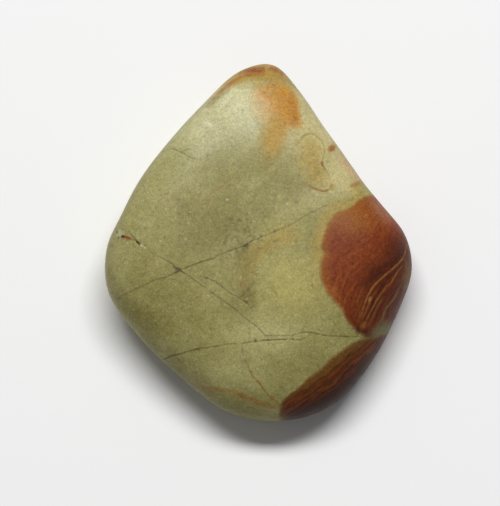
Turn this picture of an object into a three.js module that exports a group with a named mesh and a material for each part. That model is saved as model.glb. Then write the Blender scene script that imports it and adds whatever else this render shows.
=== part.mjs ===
// A tumbled porcellanite pebble: one solid stone, rhombic in plan with four rounded corners,
// domed above and below a rounded rim, and resting on a small flat spot worn in its underside.
// Millimetres, +Z up, +Y towards the narrow end. The origin is under the middle of the stone's
// box, on the surface that it rests on.
import * as THREE from "three";
import { mergeVertices } from "three/addons/utils/BufferGeometryUtils.js";

// Heights. The rim is the stone's widest level.
const RIM_HEIGHT = 3.8;
const RIM_LIFT_AT_NARROW_END = 0.5;
const RIM_LIFT_AT_LEFT_SHOULDER = 0.5;
const CROWN_RISE = 4.8;
// How much lower the keel's middle would be than its edge, had it no flat spot.
const KEEL_BOWL = 0.5;
// How much of the keel's middle is worn away to the flat spot.
const WORN_DEPTH = 0.16;
// How far up the flat spot's edge blends into the curve beside it.
const WORN_EDGE = 0.09;

// How full the stone is between rim and middle: 2 is an ellipse, and more is squarer.
const CROWN_FULLNESS = 3.5;
const KEEL_FULLNESS = 3.2;
// Towards the middle, level lines lose the rhombic corners and near a circle of this size.
const MIDDLE_RADIUS = 15;

// The outline seen from above, anticlockwise, as [x, y] about the stone's middle.
const NARROW_END = [[4.0, 14.9], [1.5, 17.5], [-1.8, 16.8], [-5.2, 13.6]];
const LONG_LEFT_SIDE = [[-8.4, 10.0], [-11.1, 6.4], [-13.0, 2.8]];
const LEFT_SHOULDER = [[-14.4, -0.5], [-14.2, -4.6], [-11.3, -8.8]];
const BROAD_END = [[-7.3, -12.7], [-2.8, -16.0], [2.4, -16.8], [7.4, -15.1]];
const RIGHT_SHOULDER = [[11.1, -10.7], [13.5, -6.0], [14.7, -2.3], [14.1, 1.0]];
const HOLLOWED_RIGHT_SIDE = [[12.2, 3.5], [10.2, 5.9], [8.2, 8.8], [6.2, 11.6]];
const OUTLINE = [
  ...NARROW_END,
  ...LONG_LEFT_SIDE,
  ...LEFT_SHOULDER,
  ...BROAD_END,
  ...RIGHT_SHOULDER,
  ...HOLLOWED_RIGHT_SIDE,
];

// Broad swells and hollows that tumbling leaves: where each one's middle is, how far it reaches,
// and how much it raises the crown or deepens the keel.
const CROWN_SWELLS = [
  { x: 4.5, y: -4.5, reach: 5.0, rise: 0.15 },
  { x: -7.0, y: 4.5, reach: 4.5, rise: -0.15 },
  { x: 1.0, y: 10.5, reach: 3.5, rise: 0.15 },
];
const KEEL_SWELLS = [
  { x: -6.5, y: 6.5, reach: 3.5, rise: -0.3 },
  { x: 8.5, y: -7.0, reach: 3.0, rise: 0.15 },
  { x: 5.0, y: 9.0, reach: 3.0, rise: -0.25 },
];

// Steps along the grid that wraps the stone, as on the six faces of a box.
const STEPS_ACROSS = 28;
const STEPS_UP = 20;
const OUTLINE_SAMPLES = 720;

// The rim's distance from the stone's middle, for any bearing.
function makeRim() {
  const points = OUTLINE.map(([x, y]) => new THREE.Vector3(x, y, 0));
  const curve = new THREE.CatmullRomCurve3(points, true, "centripetal");
  const samples = curve
    .getSpacedPoints(OUTLINE_SAMPLES)
    .slice(0, OUTLINE_SAMPLES)
    .map((p) => ({ bearing: Math.atan2(p.y, p.x), radius: Math.hypot(p.x, p.y) }))
    .sort((a, b) => a.bearing - b.bearing);
  const first = samples[0];
  const last = samples[samples.length - 1];
  const turn = 2 * Math.PI;
  const ring = [
    { bearing: last.bearing - turn, radius: last.radius },
    ...samples,
    { bearing: first.bearing + turn, radius: first.radius },
  ];
  return (bearing) => {
    const next = ring.findIndex((sample) => sample.bearing > bearing);
    const before = ring[next - 1];
    const after = ring[next];
    const share = (bearing - before.bearing) / (after.bearing - before.bearing);
    return THREE.MathUtils.lerp(before.radius, after.radius, share);
  };
}

// How much the swells raise a place.
function swell(swells, x, y) {
  return swells.reduce((sum, { x: cx, y: cy, reach, rise }) => {
    const distance = Math.hypot(x - cx, y - cy) / reach;
    return sum + rise * Math.exp(-0.5 * distance * distance);
  }, 0);
}

// Levels everything below the ground to a flat, with a short smooth run-out at its edge.
function wearFlat(height) {
  if (height >= WORN_EDGE) return height;
  if (height <= -WORN_EDGE) return 0;
  return (height + WORN_EDGE) ** 2 / (4 * WORN_EDGE);
}

// The place on the stone's surface that a direction from its middle points to.
function placeOnStone(direction, rimRadius) {
  const bearing = Math.atan2(direction.y, direction.x);
  const up = THREE.MathUtils.clamp(direction.z, -1, 1);
  const onCrown = up > 0;
  const fullness = onCrown ? CROWN_FULLNESS : KEEL_FULLNESS;
  const reach = (1 - up * up) ** (1 / fullness);
  const radius = reach * THREE.MathUtils.lerp(MIDDLE_RADIUS, rimRadius(bearing), reach);
  const x = radius * Math.cos(bearing);
  const y = radius * Math.sin(bearing);
  const lift =
    RIM_LIFT_AT_NARROW_END * Math.sin(bearing) - RIM_LIFT_AT_LEFT_SHOULDER * Math.cos(bearing);
  const rim = RIM_HEIGHT + lift * reach * reach;
  const rise = CROWN_RISE + swell(CROWN_SWELLS, x, y);
  const drop = rim + WORN_DEPTH - KEEL_BOWL * reach * reach + swell(KEEL_SWELLS, x, y);
  const height = rim + up * (onCrown ? rise : drop);
  return new THREE.Vector3(x, y, wearFlat(height));
}

// A box's grid, its steps evened out in angle, wrapped on the stone.
function makePebbleGeometry() {
  const rimRadius = makeRim();
  const box = new THREE.BoxGeometry(
    2, 2, 2, STEPS_ACROSS, STEPS_ACROSS, STEPS_UP,
  );
  box.deleteAttribute("normal");
  box.deleteAttribute("uv");
  const geometry = mergeVertices(box);
  const position = geometry.getAttribute("position");
  const even = (step) => Math.tan((step * Math.PI) / 4);
  for (let i = 0; i < position.count; i += 1) {
    const direction = new THREE.Vector3(
      even(position.getX(i)),
      even(position.getY(i)),
      even(position.getZ(i)),
    ).normalize();
    const place = placeOnStone(direction, rimRadius);
    position.setXYZ(i, place.x, place.y, place.z);
  }
  geometry.computeBoundingBox();
  const middle = geometry.boundingBox.getCenter(new THREE.Vector3());
  geometry.translate(-middle.x, -middle.y, 0);
  geometry.computeVertexNormals();
  return geometry;
}

// Fine-grained silica rock, olive grey-green, with the satin skin that tumbling gives.
const porcellanite = new THREE.MeshStandardMaterial({
  color: 0x9c9870,
  roughness: 0.5,
  metalness: 0,
});

const pebble = new THREE.Mesh(makePebbleGeometry(), porcellanite);
pebble.name = "pebble";

const stone = new THREE.Group();
stone.add(pebble);

export default stone;
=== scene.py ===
"""A tumbled porcellanite pebble, with its olive ground, rust patches, healed cracks and open fissure.

Everything is in metres, in the model's own frame. Markings are given in millimetres on the crown.
"""
import math

import bpy
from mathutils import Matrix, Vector


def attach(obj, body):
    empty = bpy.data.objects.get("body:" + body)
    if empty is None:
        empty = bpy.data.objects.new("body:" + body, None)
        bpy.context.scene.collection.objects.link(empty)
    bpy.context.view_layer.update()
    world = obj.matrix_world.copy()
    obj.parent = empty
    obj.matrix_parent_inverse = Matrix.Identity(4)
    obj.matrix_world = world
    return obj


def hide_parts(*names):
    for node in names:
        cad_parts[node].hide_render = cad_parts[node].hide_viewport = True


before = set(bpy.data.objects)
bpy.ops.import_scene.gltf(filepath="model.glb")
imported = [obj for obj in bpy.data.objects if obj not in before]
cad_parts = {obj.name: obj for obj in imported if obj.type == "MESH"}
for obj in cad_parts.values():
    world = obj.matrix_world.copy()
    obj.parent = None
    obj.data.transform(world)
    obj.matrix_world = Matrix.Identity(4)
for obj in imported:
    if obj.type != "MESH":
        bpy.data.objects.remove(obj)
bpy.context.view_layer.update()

bl_info = {
    "name": "Porcellanite Pebble",
    "version": (1, 0, 0),
    "blender": (4, 5, 0),
    "location": "3D View > Sidebar > Pebble",
    "description": "Makes a tumbled porcellanite pebble and the paper that it lies on",
    "category": "Object",
}

MM = 0.001
CAD_NODE = "pebble"
BODY = "root"


def linear(hex_colour):
    """Turns an sRGB colour such as "#9A9468" into linear red, green, blue and alpha."""
    channels = [int(hex_colour[n:n + 2], 16) / 255 for n in (1, 3, 5)]
    return tuple(
        c / 12.92 if c <= 0.04045 else ((c + 0.055) / 1.055) ** 2.4 for c in channels
    ) + (1.0,)


# Lines traced on the crown, as (x, y, z) in millimetres.

LONG_CRACK = [
    (-11.05, -1.10, 7.9), (-10.01, -1.86, 8.1), (-8.59, -2.70, 8.3), (-8.12, -3.04, 8.4),
    (-7.84, -3.38, 8.4), (-7.18, -3.76, 8.4), (-4.56, -5.60, 8.4), (-2.22, -7.26, 8.3),
    (-1.38, -8.05, 8.3), (-0.16, -8.94, 8.2), (0.68, -9.76, 8.0),
]
LONG_CRACK_END = [
    (0.68, -9.76, 8.0), (3.01, -9.75, 7.9), (3.86, -9.46, 7.9), (4.42, -9.41, 7.8),
    (6.48, -9.67, 7.4), (7.99, -9.65, 7.0), (9.52, -9.60, 6.3), (10.28, -9.62, 5.8),
]
CROSS_CRACK = [
    (-13.80, -5.90, 4.4), (-13.06, -5.74, 6.0), (-12.67, -5.58, 6.5), (-12.09, -5.37, 6.9),
    (-10.95, -4.99, 7.5), (-9.81, -4.49, 7.9), (-8.68, -4.20, 8.2), (-7.00, -3.44, 8.4),
    (-5.31, -2.82, 8.5), (-4.19, -2.46, 8.6), (-3.81, -2.18, 8.6), (-1.19, -1.23, 8.6),
    (-0.82, -0.94, 8.6), (2.37, 0.39, 8.6), (4.25, 1.45, 8.5), (5.76, 2.29, 8.4), (6.51, 2.65, 8.2),
]
LOW_CRACK = [
    (-9.20, -11.39, 4.1), (-8.74, -11.45, 5.0), (-8.15, -11.32, 5.8), (-7.39, -11.22, 6.3),
    (-6.25, -10.97, 7.0), (-4.56, -10.77, 7.5), (-2.69, -10.49, 7.8), (-1.28, -10.41, 7.9),
    (-0.44, -10.27, 7.9), (1.05, -10.13, 8.0), (2.92, -10.07, 7.9), (3.76, -10.11, 7.8),
    (4.14, -9.99, 7.8), (4.89, -9.52, 7.8),
]
SHORT_LINK = [(3.16, -9.70, 7.9), (3.23, -10.10, 7.8)]
SIDE_BRANCH = [
    (-5.50, -4.15, 8.5), (-3.90, -4.82, 8.5), (-2.69, -5.76, 8.5), (-2.13, -6.05, 8.5),
    (-1.00, -6.80, 8.4), (-0.82, -7.17, 8.4),
]
DOWN_BRANCH = [
    (-1.56, -10.50, 7.9), (-1.33, -11.68, 7.6), (-1.10, -12.32, 7.4), (-0.54, -13.40, 7.0),
    (0.21, -14.20, 6.7), (0.59, -14.73, 6.4), (1.43, -15.51, 5.9), (1.90, -15.85, 5.6),
    (2.19, -16.18, 5.3),
]
UPPER_CRACK = [
    (-8.39, 8.44, 6.7), (-7.91, 8.24, 7.2), (-7.62, 7.99, 7.5), (-7.33, 7.86, 7.7),
    (-6.28, 7.18, 8.1), (-5.72, 7.01, 8.3),
]
UPPER_CRACK_FORK = [(-7.33, 7.91, 7.6), (-6.95, 8.03, 7.7), (-6.67, 8.12, 7.8), (-6.29, 8.09, 7.9)]
SMALL_CRACK = [(-9.38, 3.73, 8.0), (-9.00, 3.72, 8.1), (-8.62, 3.77, 8.2), (-8.34, 3.95, 8.2)]
FAINT_RUST_LINE = [
    (-5.51, 2.30, 8.6), (-4.95, 2.78, 8.6), (-3.54, 4.31, 8.6), (-2.98, 4.78, 8.6), (-2.32, 5.17, 8.6),
]
RUST_VEIN = [
    (-6.62, -13.66, 4.0), (-5.94, -14.03, 4.6), (-5.33, -14.25, 5.0), (-4.57, -14.41, 5.5),
    (-3.82, -14.55, 5.8), (-2.50, -14.77, 6.1), (-1.75, -15.03, 6.0), (-0.35, -15.55, 5.8),
    (0.87, -15.98, 5.5), (2.28, -16.18, 5.3),
]
STAIN_ARC = [
    (-1.47, -5.49, 8.5), (-1.57, -4.92, 8.5), (-1.10, -3.60, 8.6), (-0.96, -2.84, 8.6),
    (-0.63, -2.27, 8.6), (0.31, -1.51, 8.6), (2.56, -0.32, 8.6), (3.68, 0.02, 8.6), (4.25, -0.12, 8.5),
]
RUST_DASH = [(8.62, 4.64, 7.2), (9.21, 5.00, 6.5), (9.61, 5.32, 5.8), (9.97, 5.70, 4.8)]
PINK_RIM = [(7.63, 8.21, 5.9), (8.19, 7.10, 6.2), (9.14, 6.01, 5.8), (9.82, 5.43, 5.3)]
TIP_BAND = [
    (-4.9, 12.7, 6.2), (-4.24, 13.51, 6.2), (-3.77, 13.99, 6.2), (-2.82, 14.75, 6.3),
    (-1.86, 15.38, 6.3), (-1.29, 15.56, 6.4), (-0.72, 15.63, 6.5), (0.42, 15.65, 6.6),
]
TIP_SMEAR = [(-4.9, 12.3, 6.4), (-4.24, 13.14, 6.5), (-3.57, 13.77, 6.5), (-2.91, 14.29, 6.6)]
TIP_CAP = [
    (-1.96, 15.91, 5.7), (-1.48, 16.12, 5.7), (-0.15, 16.23, 6.1), (0.33, 16.24, 6.1), (0.61, 16.33, 6.1),
]
TIP_RIGHT = [(0.99, 16.46, 5.9), (1.57, 16.32, 5.9), (2.04, 16.13, 5.8), (2.43, 15.80, 5.7)]
TIP_TAN = [(-2.05, 14.41, 6.9), (-1.29, 14.64, 7.0), (-0.53, 14.67, 7.1), (0.23, 14.65, 7.1)]
TIP_ARC = [
    (-0.06, 15.20, 6.8), (0.61, 15.31, 6.8), (1.27, 15.21, 6.8), (2.03, 14.89, 6.7),
    (2.70, 14.39, 6.6), (3.27, 13.72, 6.5), (3.64, 12.89, 6.7),
]
FIRST_BAND = [
    (14.19, -0.28, 4.3), (14.06, -0.75, 4.9), (13.74, -1.82, 5.5), (13.34, -2.42, 5.9),
    (12.86, -2.91, 6.2), (11.84, -3.85, 6.7), (10.46, -5.38, 7.0), (10.17, -5.91, 7.0),
    (9.41, -8.34, 6.8),
]
SECOND_BAND = [
    (13.64, -2.60, 5.5), (13.25, -3.13, 5.8), (12.86, -3.74, 6.0), (12.47, -4.42, 6.1),
    (11.99, -4.93, 6.3), (11.13, -6.11, 6.5), (9.89, -8.49, 6.5),
]
BAND_HOOK = [(13.84, -1.90, 5.4), (13.99, -2.15, 5.2), (14.04, -2.43, 5.1), (13.89, -2.83, 5.2)]
OLIVE_BAND = [
    (13.55, -4.26, 5.1), (12.68, -5.92, 5.3), (12.00, -6.83, 5.6), (11.81, -7.21, 5.6),
    (11.72, -7.75, 5.5), (11.43, -8.33, 5.5),
]
FAINT_BANDS = [
    [(11.90, -5.67, 6.1), (11.18, -6.79, 6.3), (10.28, -8.63, 6.2)],
    [(11.12, -5.19, 6.7), (10.65, -5.88, 6.8), (9.70, -7.96, 6.7)],
]
DARK_ABOVE_BANDS = [
    (13.96, -0.79, 5.0), (13.25, -2.01, 6.0), (12.18, -2.94, 6.6), (10.65, -4.17, 7.2),
    (10.07, -4.72, 7.3), (9.60, -5.30, 7.4),
]
DARK_BETWEEN_BANDS = [
    [(12.47, -3.69, 6.3), (11.41, -5.17, 6.6), (10.84, -6.13, 6.7), (10.46, -7.53, 6.5)],
    [(12.09, -5.37, 6.1), (11.42, -6.81, 6.1), (10.95, -8.12, 6.0)],
    [(12.77, -5.55, 5.4), (12.39, -6.14, 5.5), (12.25, -6.70, 5.4), (12.12, -7.95, 4.9)],
    [(13.36, -5.09, 4.9), (12.99, -6.56, 4.5), (12.52, -7.86, 4.3)],
]
DARK_LOWER_EDGE = [
    (8.84, -8.47, 7.0), (9.23, -8.90, 6.7), (9.61, -9.09, 6.4), (10.47, -9.20, 5.9),
    (10.86, -9.02, 5.6),
]
BROWN_STREAK = [
    (11.37, -9.89, 4.5), (10.69, -10.61, 4.8), (9.15, -12.02, 5.4), (8.20, -12.90, 5.6),
    (7.26, -13.77, 5.6), (6.32, -14.52, 5.6), (5.19, -15.26, 5.4), (4.07, -15.89, 5.2),
    (2.94, -16.50, 4.8), (2.19, -16.97, 4.2),
]
OPEN_FISSURE = [(-12.98, -0.10, 6.8), (-12.59, -0.23, 7.1), (-11.72, -0.63, 7.6), (-11.05, -1.10, 7.9)]
FISSURE_WEDGE = [(-12.75, -0.20, 7.0), (-12.39, -0.30, 7.3), (-12.05, -0.48, 7.4)]
FISSURE_CRACK = [(-12.31, 0.36, 7.2), (-11.63, -0.44, 7.6), (-11.20, -1.04, 7.8)]

# Outlines of patches on the crown, as (x, y) in millimetres, and what their bearings turn about.

BRICK_PATCH = [
    (17.0, -2.6), (16.0, 3.5), (13.0, 5.6), (10.98, 4.32), (9.56, 3.35), (8.12, 2.18),
    (7.17, 1.71), (6.88, 1.31), (5.98, -0.91), (5.93, -1.48), (6.12, -2.04), (5.83, -2.90),
    (5.83, -4.03), (5.92, -4.59), (6.16, -5.15), (7.33, -6.70), (8.56, -8.53), (9.32, -9.07),
    (10.09, -9.41), (10.6, -9.5), (11.1, -9.25), (11.75, -8.45), (12.25, -8.25),
    (12.6, -8.4), (12.95, -8.1), (14.4, -7.8), (16.0, -6.0),
]
BRICK_PATCH_MIDDLE = (10.4, -3.2)
BROWN_PATCH = [
    (16.0, -13.5), (16.0, -9.4), (13.4, -8.8), (11.9, -9.1), (10.8, -9.6), (9.7, -9.85),
    (8.2, -10.75), (7.3, -11.45), (6.3, -12.35), (5.3, -13.15), (4.3, -13.95), (3.68, -14.5),
    (2.65, -15.24), (2.28, -15.67), (2.0, -17.4), (3.0, -20.5), (8.5, -21.0),
]
BROWN_PATCH_MIDDLE = (8.5, -13.8)
ORANGE_CLOUD = [
    (0.4, 15.1), (1.08, 15.25), (2.03, 15.1), (2.80, 14.8), (3.4, 14.35), (3.75, 13.57),
    (3.95, 12.71), (3.95, 11.80), (4.05, 10.30), (3.45, 9.9), (2.87, 9.81), (2.1, 9.6),
    (1.2, 9.6), (0.3, 10.1), (-0.7, 11.0), (-1.2, 12.3), (-1.0, 13.6), (-0.2, 14.9),
]
ORANGE_CLOUD_MIDDLE = (1.7, 11.7)
RING = [
    (3.90, 8.91), (4.19, 9.33), (4.48, 9.56), (4.86, 9.70), (5.24, 9.65), (5.81, 9.20),
    (5.97, 6.77), (6.77, 5.12), (6.86, 4.63), (6.71, 4.28), (6.43, 4.08), (6.05, 4.00),
    (5.67, 4.08), (4.36, 4.73), (3.89, 5.21), (3.51, 5.78), (3.23, 6.46), (3.14, 7.14),
    (3.24, 7.83), (3.52, 8.44),
]
RING_MIDDLE = (4.9, 6.8)
TIP_EDGE = [
    (6.5, 9.0), (4.8, 12.0), (4.0, 13.6), (3.0, 14.7), (1.6, 15.1), (0.3, 15.0), (-1.0, 14.9),
    (-2.2, 14.4), (-3.3, 13.5), (-4.1, 12.6), (-5.0, 11.6), (-6.5, 9.5), (0.0, 4.0),
]
TIP_MIDDLE = (0.0, 10.0)


def add_node(tree, kind, settings=(), inputs=(), stops=(), curve=(), give=0):
    """Adds a shader node with its settings, its inputs set or linked, and a ramp's stops or a curve.

    Its kind is Blender's name for it without the prefix. Returns one of its outputs.
    """
    node = tree.nodes.new("ShaderNode" + kind)
    for name, value in dict(settings).items():
        setattr(node, name, value)
    for name, value in dict(inputs).items():
        if isinstance(value, bpy.types.NodeSocket):
            tree.links.new(value, node.inputs[name])
        else:
            node.inputs[name].default_value = value
    for number, (position, colour) in enumerate(stops):
        elements = node.color_ramp.elements
        element = elements[number] if number < len(elements) else elements.new(position)
        element.position = position
        element.color = (*colour, 1)
    if curve:
        line = node.mapping.curves[0]
        line.points[0].location = curve[0]
        line.points[-1].location = curve[-1]
        for x, y in curve[1:-1]:
            line.points.new(x, y)
        for point in line.points:
            point.handle_type = "AUTO_CLAMPED"
        node.mapping.update()
    return node.outputs[give]


def share(tree, *factors):
    """How strongly something shows at each place: the product of its factors.

    A factor is an amount, or a value with a list of (value, amount), or (value, start, end) for a
    smooth change from 0 to 1, which may also name the amounts to change from and to.
    """
    total = None
    for factor in factors:
        if isinstance(factor, tuple) and isinstance(factor[1], list):
            factor = add_node(tree, "FloatCurve", (), {"Value": factor[0]}, curve=factor[1])
        elif isinstance(factor, tuple):
            value, start, end, *amounts = factor
            low, high = amounts or (0.0, 1.0)
            factor = add_node(tree, "MapRange", {"interpolation_type": "SMOOTHSTEP"}, {
                "Value": value, "From Min": start, "From Max": end, "To Min": low, "To Max": high,
            })
        if total is not None:
            settings = {"operation": "MULTIPLY", "use_clamp": True}
            factor = add_node(tree, "Math", settings, {0: total, 1: factor})
        total = factor
    return total


def patchiness(tree, place, scale, start, end, low=0.0, high=1.0, detail=4.0):
    """A random pattern with this many swells to the millimetre, smoothly from low to high."""
    noise = add_node(tree, "TexNoise", (), {
        "Vector": place, "Scale": scale, "Detail": detail, "Roughness": 0.55,
    })
    return share(tree, (noise, start, end, low, high))


# No traced line strays further than this from the straight line between its ends, in millimetres.
LINE_REACH = 5.0
# How far a line's soft edge reaches to either side of its half width, as a share of that.
LINE_SOFTNESS = 0.8
# The share of a line's length in which it fades out at each end.
LINE_END = 0.01


def measure_line(tree, place, path, lean):
    """How far along a traced line each place is, from 0 to 1, and how far to its left.

    The second is in millimetres, square to a plane through the line that leans this many radians.
    """
    start = Vector(path[0])
    run = Vector(path[-1]) - start
    heading = math.atan2(run.y, run.x)
    length = math.hypot(run.x, run.y)
    forward = Vector((math.cos(heading), math.sin(heading), 0))
    across = Vector((-forward.y * math.cos(lean), forward.x * math.cos(lean), math.sin(lean)))
    offsets = [Vector(point) - start for point in path]
    local = add_node(tree, "Mapping", {"vector_type": "TEXTURE"}, {
        "Vector": place, "Location": start, "Rotation": (lean, 0, heading), "Scale": (length, 1, 1),
    })
    along = add_node(tree, "SeparateXYZ", (), {0: local})
    middle = add_node(tree, "FloatCurve", (), {"Value": along}, curve=[
        (offset.dot(forward) / length, 0.5 + offset.dot(across) / (2 * LINE_REACH))
        for offset in offsets
    ])
    sideways = add_node(tree, "Math", {"operation": "MULTIPLY_ADD"}, {
        0: middle, 1: -2 * LINE_REACH, 2: LINE_REACH,
    })
    left = add_node(tree, "Math", {"operation": "ADD"}, {0: along.node.outputs["Y"], 1: sideways})
    return along, left


def trace_line(tree, place, path, width, lean, strength):
    """How strongly a traced line shows at each place.

    The width is in millimetres, and the strength a list of (share of the length, amount).
    """
    along, left = measure_line(tree, place, path, lean)
    distance = add_node(tree, "Math", {"operation": "ABSOLUTE"}, {0: left})
    inner = [(LINE_END + (1 - 2 * LINE_END) * part, amount) for part, amount in strength]
    return share(
        tree,
        (distance, width * (1 + LINE_SOFTNESS) / 2, width * (1 - LINE_SOFTNESS) / 2),
        (along, [(0.0, 0.0), *inner, (1.0, 0.0)]),
    )


# No outline reaches further than this from its middle, in millimetres.
OUTLINE_REACH = 12.0
# The height from which a patch narrows, in millimetres.
CROWN_HEIGHT = 7.5


def measure_outline(tree, place, middle, outline, spread=0.0):
    """How far each place is outside an outline, in millimetres, and its bearing from 0 to 1.

    The patch narrows below the crown by its spread, and has upright walls where that is 0.
    """
    bearings = sorted(
        (math.atan2(y - middle[1], x - middle[0]) / (2 * math.pi) + 0.5,
         math.hypot(x - middle[0], y - middle[1]) / OUTLINE_REACH)
        for x, y in outline
    )
    first, last = bearings[0], bearings[-1]
    seam = last[1] + (first[1] - last[1]) * (1 - last[0]) / (first[0] + 1 - last[0])
    away = add_node(tree, "VectorMath", {"operation": "SUBTRACT"}, {0: place, 1: (*middle, CROWN_HEIGHT)})
    flattened = add_node(tree, "VectorMath", {"operation": "MULTIPLY"}, {0: away, 1: (1, 1, spread)})
    distance = add_node(tree, "VectorMath", {"operation": "LENGTH"}, {0: flattened}, give="Value")
    east = add_node(tree, "SeparateXYZ", (), {0: away})
    angle = add_node(tree, "Math", {"operation": "ARCTAN2"}, {0: east.node.outputs["Y"], 1: east})
    bearing = add_node(tree, "Math", {"operation": "MULTIPLY_ADD"}, {0: angle, 1: 0.5 / math.pi, 2: 0.5})
    radius = add_node(tree, "FloatCurve", (), {"Value": bearing}, curve=[
        (0.0, seam), *bearings, (1.0, seam),
    ])
    outside = add_node(tree, "Math", {"operation": "MULTIPLY_ADD"}, {
        0: radius, 1: -OUTLINE_REACH, 2: distance,
    })
    return outside, bearing


def spot(tree, place, middle, radii, turn=0.0, fullness=1.0):
    """A soft-edged oval, from 1 in the middle to 0 at its radii, which are in millimetres.

    A fullness above 1 widens its middle.
    """
    local = add_node(tree, "Mapping", {"vector_type": "TEXTURE"}, {
        "Vector": place, "Location": middle, "Rotation": (0, 0, math.radians(turn)), "Scale": radii,
    })
    ball = add_node(tree, "TexGradient", {"gradient_type": "SPHERICAL"}, {0: local}, give="Fac")
    return share(tree, (ball, 0.0, 1.0 / fullness))


def lay_tints(tree, ground, tints):
    """Lays colours over the ground one after another, each as (colour, *factors of its share)."""
    for colour, *factors in tints:
        ground = add_node(tree, "Mix", {"data_type": "RGBA"}, {
            0: share(tree, *factors),
            6: ground,
            7: colour if isinstance(colour, bpy.types.NodeSocket) else (*colour, 1),
        }, give=2)
    return ground


def lay_spots(tree, ground, place, spots, *factors):
    """Lays soft ovals of colour, each as (colour, amount, middle, radii, turn, fullness).

    The turn and the fullness may be left out, and the factors are for all of them.
    """
    return lay_tints(tree, ground, [
        (colour, amount, spot(tree, place, *oval), *factors) for colour, amount, *oval in spots
    ])


def lay_lines(tree, ground, place, lines, *factors):
    """Lays traced lines of colour, each as (colour, amount, path, width, lean, strength)."""
    return lay_tints(tree, ground, [
        (colour, amount, trace_line(tree, place, *line), *factors) for colour, amount, *line in lines
    ])


# How far a noise strays from its middle value.
NOISE_REACH = 0.25


def wander(tree, place, wavelength, reach):
    """Places moved about by a smooth noise, so that what is drawn with them wavers.

    Its wavelength and its reach are in millimetres.
    """
    noise = add_node(tree, "TexNoise", (), {
        "Vector": place, "Scale": 1 / wavelength, "Detail": 3.0, "Roughness": 0.55,
    }, give="Color")
    centred = add_node(tree, "VectorMath", {"operation": "SUBTRACT"}, {0: noise, 1: (0.5, 0.5, 0.5)})
    scaled = add_node(tree, "VectorMath", {"operation": "SCALE"}, {
        0: centred, "Scale": reach / NOISE_REACH,
    })
    return add_node(tree, "VectorMath", {"operation": "ADD"}, {0: place, 1: scaled})


def stretch(tree, along, left, swells_along, swells_across):
    """Noise drawn out along a line, with these many swells to its length and to a millimetre across."""
    place = add_node(tree, "CombineXYZ", (), {0: along, 1: left})
    stretched = add_node(tree, "VectorMath", {"operation": "MULTIPLY"}, {
        0: place, 1: (swells_along, swells_across, 1),
    })
    return add_node(tree, "TexNoise", (), {
        "Vector": stretched, "Scale": 1.0, "Detail": 5.0, "Roughness": 0.6,
    })


# In millimetres: how deep the healed cracks are, and how high the grain stands.
GROOVE_DEPTH = 0.02
GRAIN_HEIGHT = 0.008


def make_porcellanite(colours):
    """Porcellanite: a very fine silica rock, whose dull porcelain skin was rubbed to satin by tumbling.

    That gives it broad, weak highlights that don't hide its colours.
    """
    material = bpy.data.materials.new("tumbled_porcellanite")
    material.use_nodes = True
    tree = material.node_tree
    shader = tree.nodes["Principled BSDF"]
    position = add_node(tree, "TexCoord", give="Object")
    place = add_node(tree, "VectorMath", {"operation": "SCALE"}, {0: position, "Scale": 1 / MM})
    clouded = wander(tree, place, 2.6, 0.35)
    wavering = wander(tree, place, 1.1, 0.03)
    frayed = wander(tree, wavering, 0.35, 0.05)
    ground = paint_ground(tree, place, clouded, colours)
    ground = paint_narrow_end(tree, place, frayed, ground, colours)
    ground = paint_ring(tree, place, wavering, ground, colours)
    ground = paint_brick_patch(tree, frayed, wavering, ground, colours)
    ground = paint_brown_patch(tree, frayed, wavering, ground, colours)
    ground, grooves = paint_cracks(tree, place, wavering, ground, colours)
    ground = paint_fissure(tree, wavering, ground, colours)
    ground, grain = paint_grain(tree, place, ground)
    tree.links.new(ground, shader.inputs["Base Color"])

    # Satin from tumbling, a little duller here and there and rough inside the cracks.
    rough = add_node(tree, "Math", {"operation": "MULTIPLY_ADD", "use_clamp": True}, {
        0: grooves, 1: 0.3, 2: patchiness(tree, place, 1.3, 0.3, 0.7, 0.42, 0.52),
    })
    tree.links.new(rough, shader.inputs["Roughness"])
    shader.inputs["Specular IOR Level"].default_value = 0.2

    # Hairline grooves, and the grain that the polish leaves.
    height = add_node(tree, "Math", {"operation": "MULTIPLY_ADD"}, {0: grooves, 1: -GROOVE_DEPTH, 2: grain})
    relief = add_node(tree, "Bump", (), {"Strength": 1.0, "Distance": MM, "Height": height})
    tree.links.new(relief, shader.inputs["Normal"])
    return material


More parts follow.
